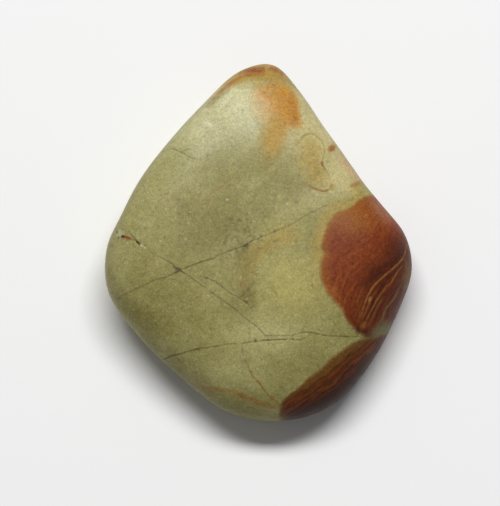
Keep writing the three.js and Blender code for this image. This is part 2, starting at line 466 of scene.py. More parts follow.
def paint_ground(tree, place, clouded, colours):
    """The olive ground, clouded light and dark, with its wide tints, pale flecks and some painted sheen,
    highlight, shade and rim light.
    """
    clouds = add_node(tree, "TexNoise", (), {
        "Vector": clouded, "Scale": 0.35, "Detail": 7.0, "Roughness": 0.6,
    })
    ground = add_node(tree, "ValToRGB", (), {0: clouds}, stops=[
        (0.3, colours.olive_shade), (0.5, colours.olive), (0.7, colours.olive_light),
    ])
    ground = lay_spots(tree, ground, clouded, [
        # These pale spots from the narrow end down the left edge to the left shoulder are partly the
        # stone's paler beige and lighter olive, and partly a painted sheen of the window light on that
        # flank.
        (colours.beige_and_sheen, 0.95, (-2.6, 13.2, 8), (6.2, 4.2, 9), -40, 1.2),
        (colours.beige_and_sheen, 0.75, (-5.8, 10.0, 8), (5.6, 3.8, 9), 50),
        (colours.beige_and_sheen, 0.35, (-7.2, 7.6, 8), (6.0, 3.4, 9), 50),
        (colours.olive_light, 0.9, (-9.0, 5.8, 7), (6.4, 4.6, 9), 55, 1.2),
        (colours.olive_light, 0.7, (-12.9, -1.5, 7), (2.8, 5.0, 9)),
        # The cream spots on the right are partly the pale pinkish skin there and partly a painted highlight
        # on the flank that faces the window.
        (colours.cream_and_highlight, 0.9, (5.6, 10.4, 7.5), (3.2, 7.4, 8), 32, 1.3),
        (colours.cream_and_highlight, 0.6, (3.6, 9.6, 7.9), (3.0, 3.0, 8), 0, 1.2),
        # A broad pale spot above the middle: partly pale beige, partly painted sheen.
        (colours.beige_and_sheen, 0.35, (-1.5, 9.6, 8), (6.5, 4.0, 9), 15),
        (colours.cream_and_highlight, 0.9, (7.6, 5.4, 7.4), (2.6, 3.0, 8), 0, 1.3),
        (colours.cream_and_highlight, 0.4, (5.0, 3.2, 8.0), (3.2, 2.0, 8), 25),
        (colours.yellow_olive, 0.9, (3.0, -4.8, 8.5), (5.2, 5.0, 9)),
        (colours.yellow_olive, 0.5, (2.2, 0.2, 8.5), (4.2, 2.4, 9), 25),
        (colours.pale_olive, 0.8, (0.4, -9.9, 8), (6.5, 3.6, 9), 6),
        (colours.pale_olive, 0.6, (-2.0, -13.2, 7), (5.5, 2.4, 9), -8),
        (colours.stain, 0.5, (-3.6, 1.8, 8.5), (4.2, 3.6, 9), 20),
        (colours.stain, 0.65, (-5.2, -1.0, 8.5), (4.4, 2.8, 9), 10),
        (colours.stain, 0.6, (-2.5, 0.8, 8.5), (1.1, 1.8, 9), -20),
        (colours.stain, 0.55, (-1.0, -3.6, 8.5), (1.6, 3.2, 9), 0),
        # The next spot darkens the lower left flank along its rim: partly a stain, partly painted shade on
        # the flank that faces away from the window.
        (colours.stain, 0.7, (-11.5, -7.2, 6), (1.4, 4.8, 7), 40),
        (colours.stain, 0.35, (-8.0, -7.5, 8), (3.4, 3.0, 9), 40),
    ])
    ground = lay_spots(tree, ground, place, [
        (colours.stain, 0.6, (-1.7, -2.3, 8.5), (0.8, 1.7, 9)),
        (colours.stain, 0.8, (-0.9, -6.0, 8.5), (1.2, 1.7, 9), 15),
    ])

    # A painted rim of light low on the stone's left side and narrow end, for light bounced up off the
    # paper.
    height = add_node(tree, "SeparateXYZ", (), {0: place}, give="Z")
    bounced_rim_light = spot(tree, place, (-10.0, 9.0, 4.0), (13.0, 22.0, 9.0), 0, 1.6)
    scattered = add_node(tree, "TexVoronoi", (), {"Vector": place, "Scale": 0.4})
    ground = lay_tints(tree, ground, [
        (colours.rim, 0.75, (height, 5.6, 4.4), bounced_rim_light),
        (colours.fleck, 0.35, (scattered, 0.07, 0.03)),
        (colours.fleck, 0.18, patchiness(tree, place, 3.4, 0.38, 0.3, detail=2.0)),
    ])
    return lay_spots(tree, ground, place, [
        (colours.fleck, 0.6, (-2.98, 3.11, 8.6), (0.22, 0.13, 2), 10, 1.5),
        (colours.fleck, 0.4, (3.48, -7.80, 8.2), (0.18, 0.12, 2), 30, 1.5),
        (colours.fleck, 0.35, (-1.10, -6.33, 8.4), (0.18, 0.12, 2), 30, 1.5),
        (colours.fleck, 0.45, (-4.79, 10.58, 7.6), (0.9, 0.25, 2), -30, 1.5),
        (colours.fleck, 0.3, (-1.40, -11.23, 7.7), (0.16, 0.7, 2), 12, 1.5),
    ])


def paint_narrow_end(tree, place, frayed, ground, colours):
    """The orange cloud, the rust skin round the tip, and the pinkish rim to the right of it."""
    outside, bearing = measure_outline(tree, frayed, ORANGE_CLOUD_MIDDLE, ORANGE_CLOUD)
    # The cloud fades slowly on its left, and stops short on its right.
    inner_edge = add_node(tree, "FloatCurve", (), {"Value": bearing}, curve=[
        (0.0, 0.95), (0.1, 0.9), (0.2, 0.8), (0.26, 0.7), (0.36, 0.45), (0.45, 0.25), (0.6, 0.35),
        (0.7, 0.5), (0.8, 0.85), (1.0, 0.95),
    ])
    inside = add_node(tree, "Math", {"operation": "MULTIPLY"}, {0: inner_edge, 1: -2.0})
    cloud = share(tree, (outside, 0.3, inside))
    dots = patchiness(tree, place, 3.2, 0.4, 0.6, 0.35, detail=3.0)
    thin_spots = patchiness(tree, place, 1.6, 0.4, 0.56, 0.72)
    dotted = share(tree, cloud, dots)
    core = spot(tree, frayed, (2.9, 12.5, 7), (2.5, 4.2, 8), 14, 1.3)
    column = spot(tree, frayed, (1.4, 14.4, 7), (3.2, 2.2, 6), 0, 1.6)
    tail = spot(tree, frayed, (1.4, 9.4, 8), (1.9, 3.9, 7), -12, 1.2)
    right_edge = spot(tree, frayed, (3.4, 11.9, 7), (0.8, 2.6, 6), 2, 1.5)
    outside_tip, tip_bearing = measure_outline(tree, frayed, TIP_MIDDLE, TIP_EDGE)
    skin = share(tree, (outside_tip, -0.2, 0.35), (tip_bearing, [
        (0.0, 0.0), (0.6, 0.0), (0.66, 0.3), (0.72, 0.9), (0.8, 0.9), (0.85, 0.5), (0.89, 0.3),
        (0.95, 0.0), (1.0, 0.0),
    ]))
    blotches = patchiness(tree, place, 1.6, 0.36, 0.6, 0.5)
    ground = lay_tints(tree, ground, [
        (colours.peach, 0.95, dotted),
        (colours.ochre, 1.0, tail),
        (colours.orange, 0.3, spot(tree, frayed, (1.8, 9.4, 8), (1.3, 2.4, 7), -12, 1.2)),
        (colours.orange, 0.85, dotted, column),
        (colours.orange, 1.0, cloud, core, thin_spots),
        (colours.orange_brown, 0.4, cloud, dots, right_edge),
        (colours.ochre, 0.85, skin),
        (colours.orange_brown, 0.35, skin, blotches),
    ])
    ground = lay_lines(tree, ground, frayed, [
        (colours.ochre, 0.55, TIP_TAN, 0.6, -0.2, [(0.0, 0.6), (0.5, 0.8), (1.0, 0.8)]),
        (colours.ochre, 0.6, TIP_ARC, 0.5, -0.3, [(0.0, 0.5), (0.3, 0.8), (0.6, 0.9), (1.0, 0.5)]),
        (colours.stain, 0.6, TIP_SMEAR, 0.9, -0.4, [(0.0, 0.5), (0.4, 1.0), (1.0, 0.3)]),
        (colours.orange_brown, 0.9, TIP_BAND, 0.5, -0.4, [
            (0.0, 0.1), (0.2, 0.4), (0.5, 1.0), (0.7, 0.7), (0.8, 1.0), (1.0, 0.4),
        ]),
        (colours.red_brown, 0.8, TIP_RIGHT, 0.8, -0.5, [(0.0, 0.7), (0.6, 0.9), (1.0, 0.3)]),
        (colours.dark_red, 0.45, TIP_CAP, 0.7, -0.5, [(0.0, 0.0), (0.4, 0.7), (0.85, 1.0), (1.0, 0.5)]),
        (colours.red_brown, 1.0, TIP_CAP, 0.95, -0.5, [
            (0.0, 0.3), (0.25, 0.6), (0.5, 1.0), (0.85, 1.0), (1.0, 0.6),
        ]),
    ], blotches)
    ground = lay_lines(tree, ground, frayed, [
        (colours.pink_beige, 0.75, PINK_RIM, 1.1, -0.4, [(0.0, 0.4), (0.3, 0.9), (0.7, 1.0), (1.0, 0.6)]),
    ])
    return lay_spots(tree, ground, frayed, [
        (colours.orange_brown, 0.9, (7.0, 8.5, 6.6), (0.42, 0.95, 1.6), -35, 1.6),
        (colours.orange_brown, 0.4, (7.3, 9.1, 5.6), (0.5, 0.7, 1.6), -30, 1.4),
    ])


def paint_ring(tree, place, wavering, ground, colours):
    """The thin rust ring on the right, yellowish inside, and the rusty dash below it."""
    outside, bearing = measure_outline(tree, wavering, RING_MIDDLE, RING)
    distance = add_node(tree, "Math", {"operation": "ABSOLUTE"}, {0: outside})
    near_top = spot(tree, place, (5.0, 7.0, 7.8), (5, 5, 3.5), 0, 3.0)
    line = share(tree, (distance, 0.22, 0.03), near_top, (bearing, [
        (0.0, 0.1), (0.18, 0.15), (0.22, 0.4), (0.26, 0.8), (0.3, 1.0), (0.335, 0.9), (0.36, 0.3),
        (0.4, 0.35), (0.44, 0.9), (0.48, 1.0), (0.52, 0.6), (0.6, 0.3), (0.68, 0.4), (0.74, 0.5),
        (0.79, 0.5), (0.82, 0.35), (0.86, 0.2), (0.92, 0.1), (1.0, 0.1),
    ]))
    ground = lay_tints(tree, ground, [(colours.ochre, 0.5, (outside, 0.5, -1.4), near_top)])
    ground = lay_spots(tree, ground, wavering, [
        (colours.ochre, 0.5, (5.4, 6.2, 7.9), (0.7, 1.5, 4), 15, 1.2),
        (colours.stain, 0.45, (5.45, 5.9, 7.9), (0.5, 0.7, 4), 10, 1.4),
        (colours.ochre, 0.8, (6.95, 4.5, 7.9), (0.35, 0.3, 4), 0, 1.5),
        (colours.ochre, 0.5, (9.2, 4.7, 6.5), (1.1, 0.8, 3), 30, 1.2),
    ])
    ground = lay_tints(tree, ground, [(colours.ring_brown, 0.9, line)])
    return lay_lines(tree, ground, wavering, [
        (colours.orange_brown, 0.6, RUST_DASH, 0.38, 0.0, [(0.0, 0.3), (0.4, 1.0), (0.7, 0.8), (1.0, 0.4)]),
    ])


# How the planes of the two rust patches' streaks lean, in radians: square to the stone's shoulder.
SHOULDER_LEAN = -0.6


def paint_brick_patch(tree, frayed, wavering, ground, colours):
    """The brick-red patch at the right shoulder, rusty at its edge and banded near the rim."""
    outside, bearing = measure_outline(tree, frayed, BRICK_PATCH_MIDDLE, BRICK_PATCH, 0.2)
    halo = share(tree, (outside, 1.8, 0.0), (bearing, [
        (0.0, 0.4), (0.1, 0.1), (0.2, 0.0), (0.7, 0.0), (0.76, 0.7), (0.82, 0.9), (0.88, 1.0),
        (0.94, 0.9), (1.0, 0.4),
    ]))
    edge = share(tree, (outside, 0.3, -0.35))
    rusty_edge = share(tree, edge, (outside, -1.2, -0.1), (bearing, [
        (0.0, 1.0), (0.08, 0.9), (0.14, 0.5), (0.2, 0.0), (0.7, 0.0), (0.76, 1.0), (1.0, 1.0),
    ]))
    along, left = measure_line(tree, wavering, FIRST_BAND, SHOULDER_LEAN)
    streaks = stretch(tree, along, left, 3.0, 3.2)
    corner_colour = add_node(tree, "ValToRGB", (), {0: streaks}, stops=[
        (0.34, colours.maroon), (0.48, colours.dark_red), (0.56, colours.dark_red),
        (0.68, colours.sienna),
    ])
    mottle = add_node(tree, "TexNoise", (), {
        "Vector": frayed, "Scale": 3.2, "Detail": 4.0, "Roughness": 0.75,
    })
    texture = add_node(tree, "Math", {"operation": "MULTIPLY_ADD"}, {
        0: streaks, 1: 0.4, 2: share(tree, mottle, 0.6),
    })
    body = add_node(tree, "ValToRGB", (), {0: texture}, stops=[
        (0.3, colours.dark_red), (0.42, colours.brick), (0.55, colours.sienna), (0.7, colours.rust),
    ])
    corner = share(tree, (left, -0.6, 0.2), edge)
    light_grains = share(
        tree,
        patchiness(tree, frayed, 3.0, 0.48, 0.62),
        spot(tree, frayed, (9.6, 2.0, 7), (4.4, 3.0, 6), 20, 1.3),
    )
    # The patch is a little darker along its upper edge.
    top_edge = share(tree, edge, (outside, -0.6, -0.2), (bearing, [
        (0.0, 0.0), (0.5, 0.0), (0.6, 1.0), (0.76, 1.0), (0.84, 0.0), (1.0, 0.0),
    ]))
    broken = patchiness(tree, frayed, 2.0, 0.36, 0.58, 0.45)
    # Light grains in the lower tip, drawn out along the bands.
    lighter = share(tree, (streaks, 0.52, 0.66), spot(tree, frayed, (8.6, -5.6, 7), (3.6, 4.4, 6), 0, 1.5))
    bands = [
        (colours.maroon, 0.6, DARK_ABOVE_BANDS, 2.2, [(0.0, 0.8), (0.5, 1.0), (0.8, 0.6), (1.0, 0.0)]),
        (colours.maroon, 0.9, DARK_ABOVE_BANDS, 0.9, [(0.0, 0.8), (0.5, 1.0), (0.8, 0.8), (1.0, 0.3)]),
        *(
            (colours.maroon, 0.85, path, 0.3, [(0.0, 0.3), (0.4, 0.9), (0.8, 1.0), (1.0, 0.4)])
            for path in DARK_BETWEEN_BANDS
        ),
        *(
            (colours.tan_brown, 0.35, path, 0.22, [(0.0, 0.2), (0.4, 0.9), (1.0, 0.6)])
            for path in FAINT_BANDS
        ),
        (colours.tan_brown, 0.75, FIRST_BAND, 0.2, [
            (0.0, 0.1), (0.15, 0.8), (0.5, 0.9), (0.7, 0.8), (0.85, 0.6), (1.0, 0.2),
        ]),
        (colours.tan_brown, 0.65, SECOND_BAND, 0.18, [
            (0.0, 0.3), (0.2, 0.9), (0.45, 0.6), (0.6, 0.9), (0.9, 0.7), (1.0, 0.3),
        ]),
        (colours.tan_brown, 0.6, BAND_HOOK, 0.2, [(0.0, 0.7), (1.0, 0.4)]),
        (colours.olive_tan, 0.55, OLIVE_BAND, 0.3, [(0.0, 0.3), (0.3, 0.8), (0.7, 0.9), (1.0, 0.8)]),
        (colours.maroon, 0.8, DARK_LOWER_EDGE, 0.5, [(0.0, 0.4), (0.3, 0.9), (0.8, 1.0), (1.0, 0.5)]),
    ]
    return lay_tints(tree, ground, [
        (colours.ochre, 0.65, halo),
        (body, edge),
        (colours.orange_brown, 0.5, spot(tree, frayed, (9.0, 1.6, 7), (3.4, 2.6, 8), 15, 1.2), edge),
        # The next tint lightens the patch's upper right: partly a pinkish skin, partly a painted sheen.
        (colours.pink_beige, 0.15, spot(tree, frayed, (11.6, 2.6, 6), (1.0, 2.4, 5), 35, 1.2), edge),
        (colours.tan_brown, 0.4, light_grains, edge),
        (colours.sienna, 0.6, top_edge),
        (colours.orange_brown, 0.55, rusty_edge),
        (colours.maroon, 0.45, (left, -3.4, -0.2), edge),
        (colours.tan_brown, 0.22, edge, lighter),
        (colours.maroon, 0.5, spot(tree, frayed, (12.8, -0.8, 6), (1.5, 2.6, 4), -55, 1.2), edge),
        (corner_colour, 0.85, corner),
        (colours.olive_tan, 0.4, spot(tree, frayed, (14.2, -3.9, 4.2), (1.0, 2.8, 2.4), 5, 1.2), corner),
        (colours.tan_brown, 0.4, spot(tree, frayed, (9.8, -8.6, 6.4), (0.8, 0.4, 2), 60, 1.2), edge),
        *(
            (colour, amount, trace_line(tree, wavering, path, width, SHOULDER_LEAN, strength), broken)
            for colour, amount, path, width, strength in bands
        ),
        (colours.tan_brown, 0.7, spot(tree, wavering, (10.45, -6.1, 6.9), (0.22, 0.36, 1), -20, 1.6)),
        (colours.maroon, 0.8, spot(tree, wavering, (10.75, -6.4, 6.8), (0.2, 0.45, 1), -25, 1.6)),
    ])


# How far streaks reach on each side of the brown patch's middle streak, and how far a noise bends
# them, in millimetres.
STREAKS_REACH = 1.8
STREAKS_BEND = 1.8


def paint_brown_patch(tree, frayed, wavering, ground, colours):
    """The streaky brown patch along the lower right rim, darkest there and golden at its upper edge."""
    outside, bearing = measure_outline(tree, frayed, BROWN_PATCH_MIDDLE, BROWN_PATCH, 0.1)
    edge = share(tree, (outside, 0.35, -0.35))
    along, left = measure_line(tree, wavering, BROWN_STREAK, SHOULDER_LEAN)
    wavy_left = add_node(tree, "Math", {"operation": "MULTIPLY_ADD"}, {
        0: stretch(tree, along, left, 4.5, 1.5), 1: STREAKS_BEND, 2: left,
    })
    # The streaks run out before the patch's left end does.
    left_end = share(tree, (along, 1.14, 1.04))
    streaks_reach = share(tree, edge, (along, 1.12, 0.92))
    # From the patch's upper edge, above its middle streak, to as far below it.
    depth = add_node(tree, "MapRange", (), {
        "Value": wavy_left,
        "From Min": STREAKS_BEND / 2 - STREAKS_REACH,
        "From Max": STREAKS_BEND / 2 + STREAKS_REACH,
    })
    streaked = add_node(tree, "ValToRGB", (), {0: depth}, stops=[
        (0.04, colours.golden_brown), (0.12, colours.golden_brown), (0.18, colours.dark_brown),
        (0.24, colours.rust_brown), (0.32, colours.dark_red), (0.38, colours.dark_brown),
        (0.46, colours.rust_brown), (0.53, colours.black_brown), (0.6, colours.dark_red),
        (0.68, colours.black_brown), (0.8, colours.black_brown),
    ])
    lines = stretch(tree, along, left, 6.0, 4.5)
    return lay_tints(tree, ground, [
        (colours.grey_green, 0.85, spot(tree, frayed, (12.0, -8.8, 5.0), (2.2, 1.2, 3.4), 25, 1.6)),
        (colours.golden_brown, 0.85, edge, left_end, (wavy_left, 1.6, -0.4)),
        (streaked, streaks_reach),
        (colours.rust_brown, 0.35, streaks_reach, (lines, 0.54, 0.68), (left, 0.8, -0.2)),
        (colours.black_brown, 0.4, streaks_reach, (lines, 0.46, 0.34)),
        (colours.golden_brown, 0.6, streaks_reach, (outside, -0.7, 0.1)),
    ])


def paint_cracks(tree, place, wavering, ground, colours):
    """The healed hairline cracks with their dark beads, and the rust veins; returns the grooves too."""
    unbroken = patchiness(tree, place, 2.6, 0.34, 0.56, 0.35, detail=3.0)
    blotches = patchiness(tree, place, 2.6, 0.38, 0.56, 0.4)
    ground = lay_lines(tree, ground, wavering, [
        (colours.orange_brown, 0.68, RUST_VEIN, 0.42, 0.3, [
            (0.0, 0.3), (0.2, 0.7), (0.4, 0.8), (0.65, 1.0), (0.85, 0.9), (1.0, 0.4),
        ]),
        (colours.stain, 0.8, DOWN_BRANCH, 0.2, 0.0, [(0.0, 0.5), (0.3, 0.9), (0.6, 1.0), (1.0, 0.7)]),
        (colours.orange_brown, 0.4, DOWN_BRANCH, 0.24, 0.0, [
            (0.0, 0.1), (0.45, 0.3), (0.6, 1.0), (0.72, 0.4), (0.85, 0.9), (1.0, 0.5),
        ]),
        (colours.orange_brown, 0.35, FAINT_RUST_LINE, 0.2, 0.0, [(0.0, 0.7), (0.5, 0.9), (1.0, 0.4)]),
        (colours.ochre, 0.6, STAIN_ARC, 1.6, 0.0, [
            (0.0, 0.3), (0.2, 0.5), (0.4, 0.9), (0.6, 0.8), (0.8, 1.0), (0.92, 0.7), (1.0, 0.2),
        ]),
        (colours.stain, 0.4, STAIN_ARC, 0.7, 0.0, [
            (0.0, 0.7), (0.15, 0.6), (0.35, 0.9), (0.5, 0.5), (0.7, 0.9), (0.8, 0.3), (1.0, 0.6),
        ]),
        (colours.rust, 0.45, SMALL_CRACK, 0.16, 0.0, [(0.0, 0.5), (0.5, 1.0), (1.0, 0.4)]),
    ], blotches)
    ground = lay_spots(tree, ground, wavering, [
        (colours.rust, 0.35, (4.99, -4.98, 8.3), (0.14, 0.42, 1), 8, 1.5),
        (colours.rust, 0.2, (4.55, -1.50, 8.5), (0.3, 0.26, 1), 0, 1.5),
        (colours.rust, 0.4, (-1.68, -4.92, 8.5), (0.14, 0.42, 1), 0, 1.5),
    ])
    healed = [
        (LONG_CRACK, 0.15, 0.35, [
            (0.0, 0.2), (0.1, 0.3), (0.2, 0.6), (0.28, 1.0), (0.33, 1.0), (0.4, 0.7), (1.0, 0.7),
        ]),
        (LONG_CRACK_END, 0.14, -0.2, [
            (0.0, 0.7), (0.25, 0.6), (0.4, 0.9), (0.55, 1.0), (0.8, 0.8), (1.0, 0.6),
        ]),
        (CROSS_CRACK, 0.16, -0.3, [
            (0.0, 0.2), (0.06, 0.4), (0.2, 0.7), (0.3, 0.8), (0.42, 0.8), (0.5, 0.5), (0.58, 0.8),
            (0.66, 0.8), (0.75, 0.6), (0.9, 0.5), (1.0, 0.4),
        ]),
        (LOW_CRACK, 0.16, 0.25, [
            (0.0, 0.4), (0.05, 1.0), (0.3, 0.8), (0.5, 0.7), (0.7, 1.0), (0.9, 0.8), (1.0, 0.4),
        ]),
        (SHORT_LINK, 0.1, 0.0, [(0.0, 0.6), (1.0, 0.6)]),
        (SIDE_BRANCH, 0.15, 0.1, [(0.0, 0.3), (0.3, 0.8), (0.6, 0.6), (0.9, 0.8), (1.0, 0.4)]),
        (UPPER_CRACK, 0.13, 0.0, [(0.0, 0.3), (0.3, 0.9), (0.5, 0.8), (1.0, 0.3)]),
        (UPPER_CRACK_FORK, 0.12, 0.0, [(0.0, 0.8), (0.6, 0.7), (1.0, 0.3)]),
    ]
    beads = [
        ((-7.56, -3.52, 8.4), (0.5, 0.32, 1), 10), ((-7.94, -3.33, 8.4), (0.4, 0.18, 1), -45),
        ((-1.15, -1.22, 8.6), (0.5, 0.28, 1), 20), ((-5.31, -2.79, 8.5), (0.3, 0.2, 1), 10),
        ((-0.35, -10.18, 8.0), (0.42, 0.28, 1), 5), ((-5.87, -10.93, 7.1), (0.45, 0.18, 1), 12),
        ((0.86, -10.13, 8.0), (0.2, 0.14, 1), 0), ((2.05, 0.75, 8.6), (0.15, 0.12, 1), 0),
    ]
    grooves = 0.0
    for crack in healed:
        groove = share(tree, trace_line(tree, wavering, *crack), unbroken)
        ground = lay_tints(tree, ground, [(colours.crack, 0.66, groove)])
        grooves = add_node(tree, "Math", {"operation": "MAXIMUM"}, {0: groove, 1: grooves})
    beads = [(colours.crack, 0.62, *bead, 1.6) for bead in beads]
    return lay_spots(tree, ground, wavering, beads, unbroken), grooves


def paint_fissure(tree, wavering, ground, colours):
    """The open fissure's dark flakes and iron-red wedge, and the pale crumbs at its end."""
    ground = lay_spots(tree, ground, wavering, [
        (colours.fleck, 0.25, (-13.1, 0.3, 6.5), (0.7, 0.6, 1), -40, 1.2),
        (colours.fleck, 0.55, (-10.98, -1.12, 7.9), (0.24, 0.16, 1), -40, 1.5),
        (colours.fleck, 0.4, (-10.7, -1.34, 8.0), (0.24, 0.14, 1), -35, 1.5),
        (colours.fissure, 0.35, (-11.9, -0.58, 7.5), (0.34, 0.14, 1), -25, 1.4),
    ])
    ground = lay_lines(tree, ground, wavering, [
        (colours.red_brown, 0.9, FISSURE_WEDGE, 0.3, 0.3, [(0.0, 0.6), (0.4, 1.0), (1.0, 0.7)]),
        (colours.fissure, 0.75, FISSURE_CRACK, 0.13, 0.3, [(0.0, 0.3), (0.5, 0.7), (1.0, 1.0)]),
    ])
    flakes = [
        (0.5, (-13.38, 0.44, 6.2), (0.3, 0.2, 1), -50), (0.5, (-13.22, -0.16, 6.6), (0.14, 0.2, 1), 0),
        (0.4, (-12.84, 0.59, 6.7), (0.14, 0.18, 1), 0), (0.9, (-12.83, -0.12, 6.9), (0.26, 0.24, 1), 0),
        (0.4, (-12.9, -0.42, 6.8), (0.12, 0.16, 1), 0), (0.8, (-11.39, -0.82, 7.8), (0.22, 0.16, 1), -40),
        (0.7, (-11.24, -1.05, 7.8), (0.16, 0.12, 1), -40),
    ]
    return lay_spots(tree, ground, wavering, [(colours.fissure, *flake, 1.6) for flake in flakes])


def paint_grain(tree, place, ground):
    """The fine grain, which darkens and raises the skin; returns its height too.

    The rock's own grain is under 0.05 mm, and is drawn three to seven times as coarse, so that it shows.
    """
    fine = add_node(tree, "TexNoise", (), {
        "Vector": place, "Scale": 6.0, "Detail": 3.0, "Roughness": 0.7,
    })
    specks = add_node(tree, "TexNoise", (), {
        "Vector": place, "Scale": 3.0, "Detail": 2.0, "Roughness": 0.6,
    })
    # The dark specks crowd on the two dark smudges.
    by_stain = add_node(tree, "Math", {"operation": "MAXIMUM"}, {
        0: spot(tree, place, (-1.0, -5.8, 8.5), (1.6, 2.4, 4), 15),
        1: spot(tree, place, (-1.8, -0.6, 8.5), (5.0, 3.6, 4), 20),
    })
    crowded = add_node(tree, "Math", {"operation": "MULTIPLY_ADD"}, {0: by_stain, 1: 0.11, 2: specks})
    darkening = [
        share(tree, (fine, 0.3, 0.7, 0.78, 1.21)),
        patchiness(tree, place, 1.6, 0.3, 0.7, 0.93, 1.07, detail=3.0),
        share(tree, (crowded, 0.57, 0.72, 1.0, 0.64)),
    ]
    for amount in darkening:
        ground = add_node(tree, "VectorMath", {"operation": "SCALE"}, {0: ground, "Scale": amount})
    height = add_node(tree, "Math", {"operation": "MULTIPLY"}, {0: fine, 1: GRAIN_HEIGHT})
    return ground, height


def distance_to_path(point, path):
    """The distance in plan from a point to a traced line, in millimetres."""
    nearest = math.inf
    for (ax, ay, _), (bx, by, _) in zip(path, path[1:]):
        run = Vector((bx - ax, by - ay))
        offset = Vector((point.x - ax, point.y - ay))
        part = min(max(offset.dot(run) / run.length_squared, 0.0), 1.0)
        nearest = min(nearest, (offset - run * part).length)
    return nearest


def apply_modifier(piece, kind, name, settings):
    """Adds a modifier to the piece with its settings, and applies it."""
    modifier = piece.modifiers.new(name, kind)
    for setting, value in settings.items():
        setattr(modifier, setting, value)
    bpy.ops.object.modifier_apply(modifier=name)


def refine_along(piece, path, reach):
    """Splits the crown's faces near a traced line."""
    bpy.ops.object.mode_set(mode="EDIT")
    bpy.ops.mesh.select_mode(type="FACE")
    bpy.ops.mesh.select_all(action="DESELECT")
    bpy.ops.object.mode_set(mode="OBJECT")
    for face in piece.data.polygons:
        centre = face.center / MM
        face.select = face.normal.z > 0 and distance_to_path(centre, path) < reach
    bpy.ops.object.mode_set(mode="EDIT")
    bpy.ops.mesh.subdivide(number_cuts=1, smoothness=0.0, ngon=False)
    bpy.ops.object.mode_set(mode="OBJECT")


# Faces this near the fissure are split, once and then once more, in millimetres.
FISSURE_FIRST_REACH = 0.55
FISSURE_SECOND_REACH = 0.4
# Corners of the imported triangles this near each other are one, in millimetres.
MERGE_REACH = 0.0001
# The unevenness starts at this height above the paper, and its swells are about this wide, in
# millimetres.
UNEVEN_FROM_HEIGHT = 0.05
UNEVEN_WIDTH = 4.2


def model_pebble(shape):
    """Gives the stone its smooth tumbled skin, faint unevenness and open fissure.

    The last two only cut into it, so it keeps its size.
    """
    bpy.ops.object.select_all(action="DESELECT")
    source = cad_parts[CAD_NODE]
    pebble = bpy.data.objects.new("tumbled_stone", source.data.copy())
    bpy.context.scene.collection.objects.link(pebble)
    pebble.select_set(True)
    bpy.context.view_layer.objects.active = pebble

    bpy.ops.object.mode_set(mode="EDIT")
    bpy.ops.mesh.select_all(action="SELECT")
    bpy.ops.mesh.remove_doubles(threshold=MERGE_REACH * MM)
    widest = math.radians(60)
    bpy.ops.mesh.tris_convert_to_quads(face_threshold=widest, shape_threshold=widest)
    bpy.ops.object.mode_set(mode="OBJECT")
    apply_modifier(pebble, "SUBSURF", "smooth_skin", {
        "levels": shape.smoothing, "render_levels": shape.smoothing,
    })
    refine_along(pebble, OPEN_FISSURE, FISSURE_FIRST_REACH)
    refine_along(pebble, OPEN_FISSURE, FISSURE_SECOND_REACH)

    # The flat spot stays flat, and the unevenness grows above it.
    skin = pebble.vertex_groups.new(name="uneven_skin")
    fissure = pebble.vertex_groups.new(name="open_fissure")
    half_width = shape.fissure_width / MM / 2
    for vertex in pebble.data.vertices:
        place = vertex.co / MM
        skin.add([vertex.index], min(max(place.z - UNEVEN_FROM_HEIGHT, 0.0), 1.0), "REPLACE")
        depth = 1 - distance_to_path(place, OPEN_FISSURE) / half_width
        if depth > 0 and vertex.normal.z > 0:
            fissure.add([vertex.index], depth, "REPLACE")
    swell = bpy.data.textures.new("tumbled_unevenness", "CLOUDS")
    swell.noise_scale = UNEVEN_WIDTH * MM
    swell.noise_depth = 2
    apply_modifier(pebble, "DISPLACE", "tumbled_unevenness", {
        "texture": swell, "texture_coords": "LOCAL", "strength": shape.unevenness, "mid_level": 1.0,
        "vertex_group": "uneven_skin",
    })
    apply_modifier(pebble, "DISPLACE", "open_fissure", {
        "strength": -shape.fissure_depth, "mid_level": 0.0, "vertex_group": "open_fissure",
    })
    bpy.ops.object.shade_smooth()
    return pebble


class PebbleShape(bpy.types.PropertyGroup):
    smoothing: bpy.props.IntProperty(
        name="Smoothing", description="How many times the skin is subdivided", default=2, min=1, max=2,
    )
    unevenness: bpy.props.FloatProperty(
        name="Unevenness", description="How deep tumbling's broad hollows are", default=0.00006,
        unit="LENGTH", precision=6,
    )
    fissure_width: bpy.props.FloatProperty(
        name="Fissure Width", description="How wide the open fissure is", default=0.00026,
        unit="LENGTH", precision=6,
    )
    fissure_depth: bpy.props.FloatProperty(
        name="Fissure Depth", description="How deep the open fissure is", default=0.00008,
        unit="LENGTH", precision=6,
    )


def colour_property(name, description, hex_colour):
    """A colour that a user can change, with its default as an sRGB hex value."""
    return bpy.props.FloatVectorProperty(
        name=name, description=description, subtype="COLOR", size=3, min=0.0, max=1.0,
        default=linear(hex_colour)[:3],
    )


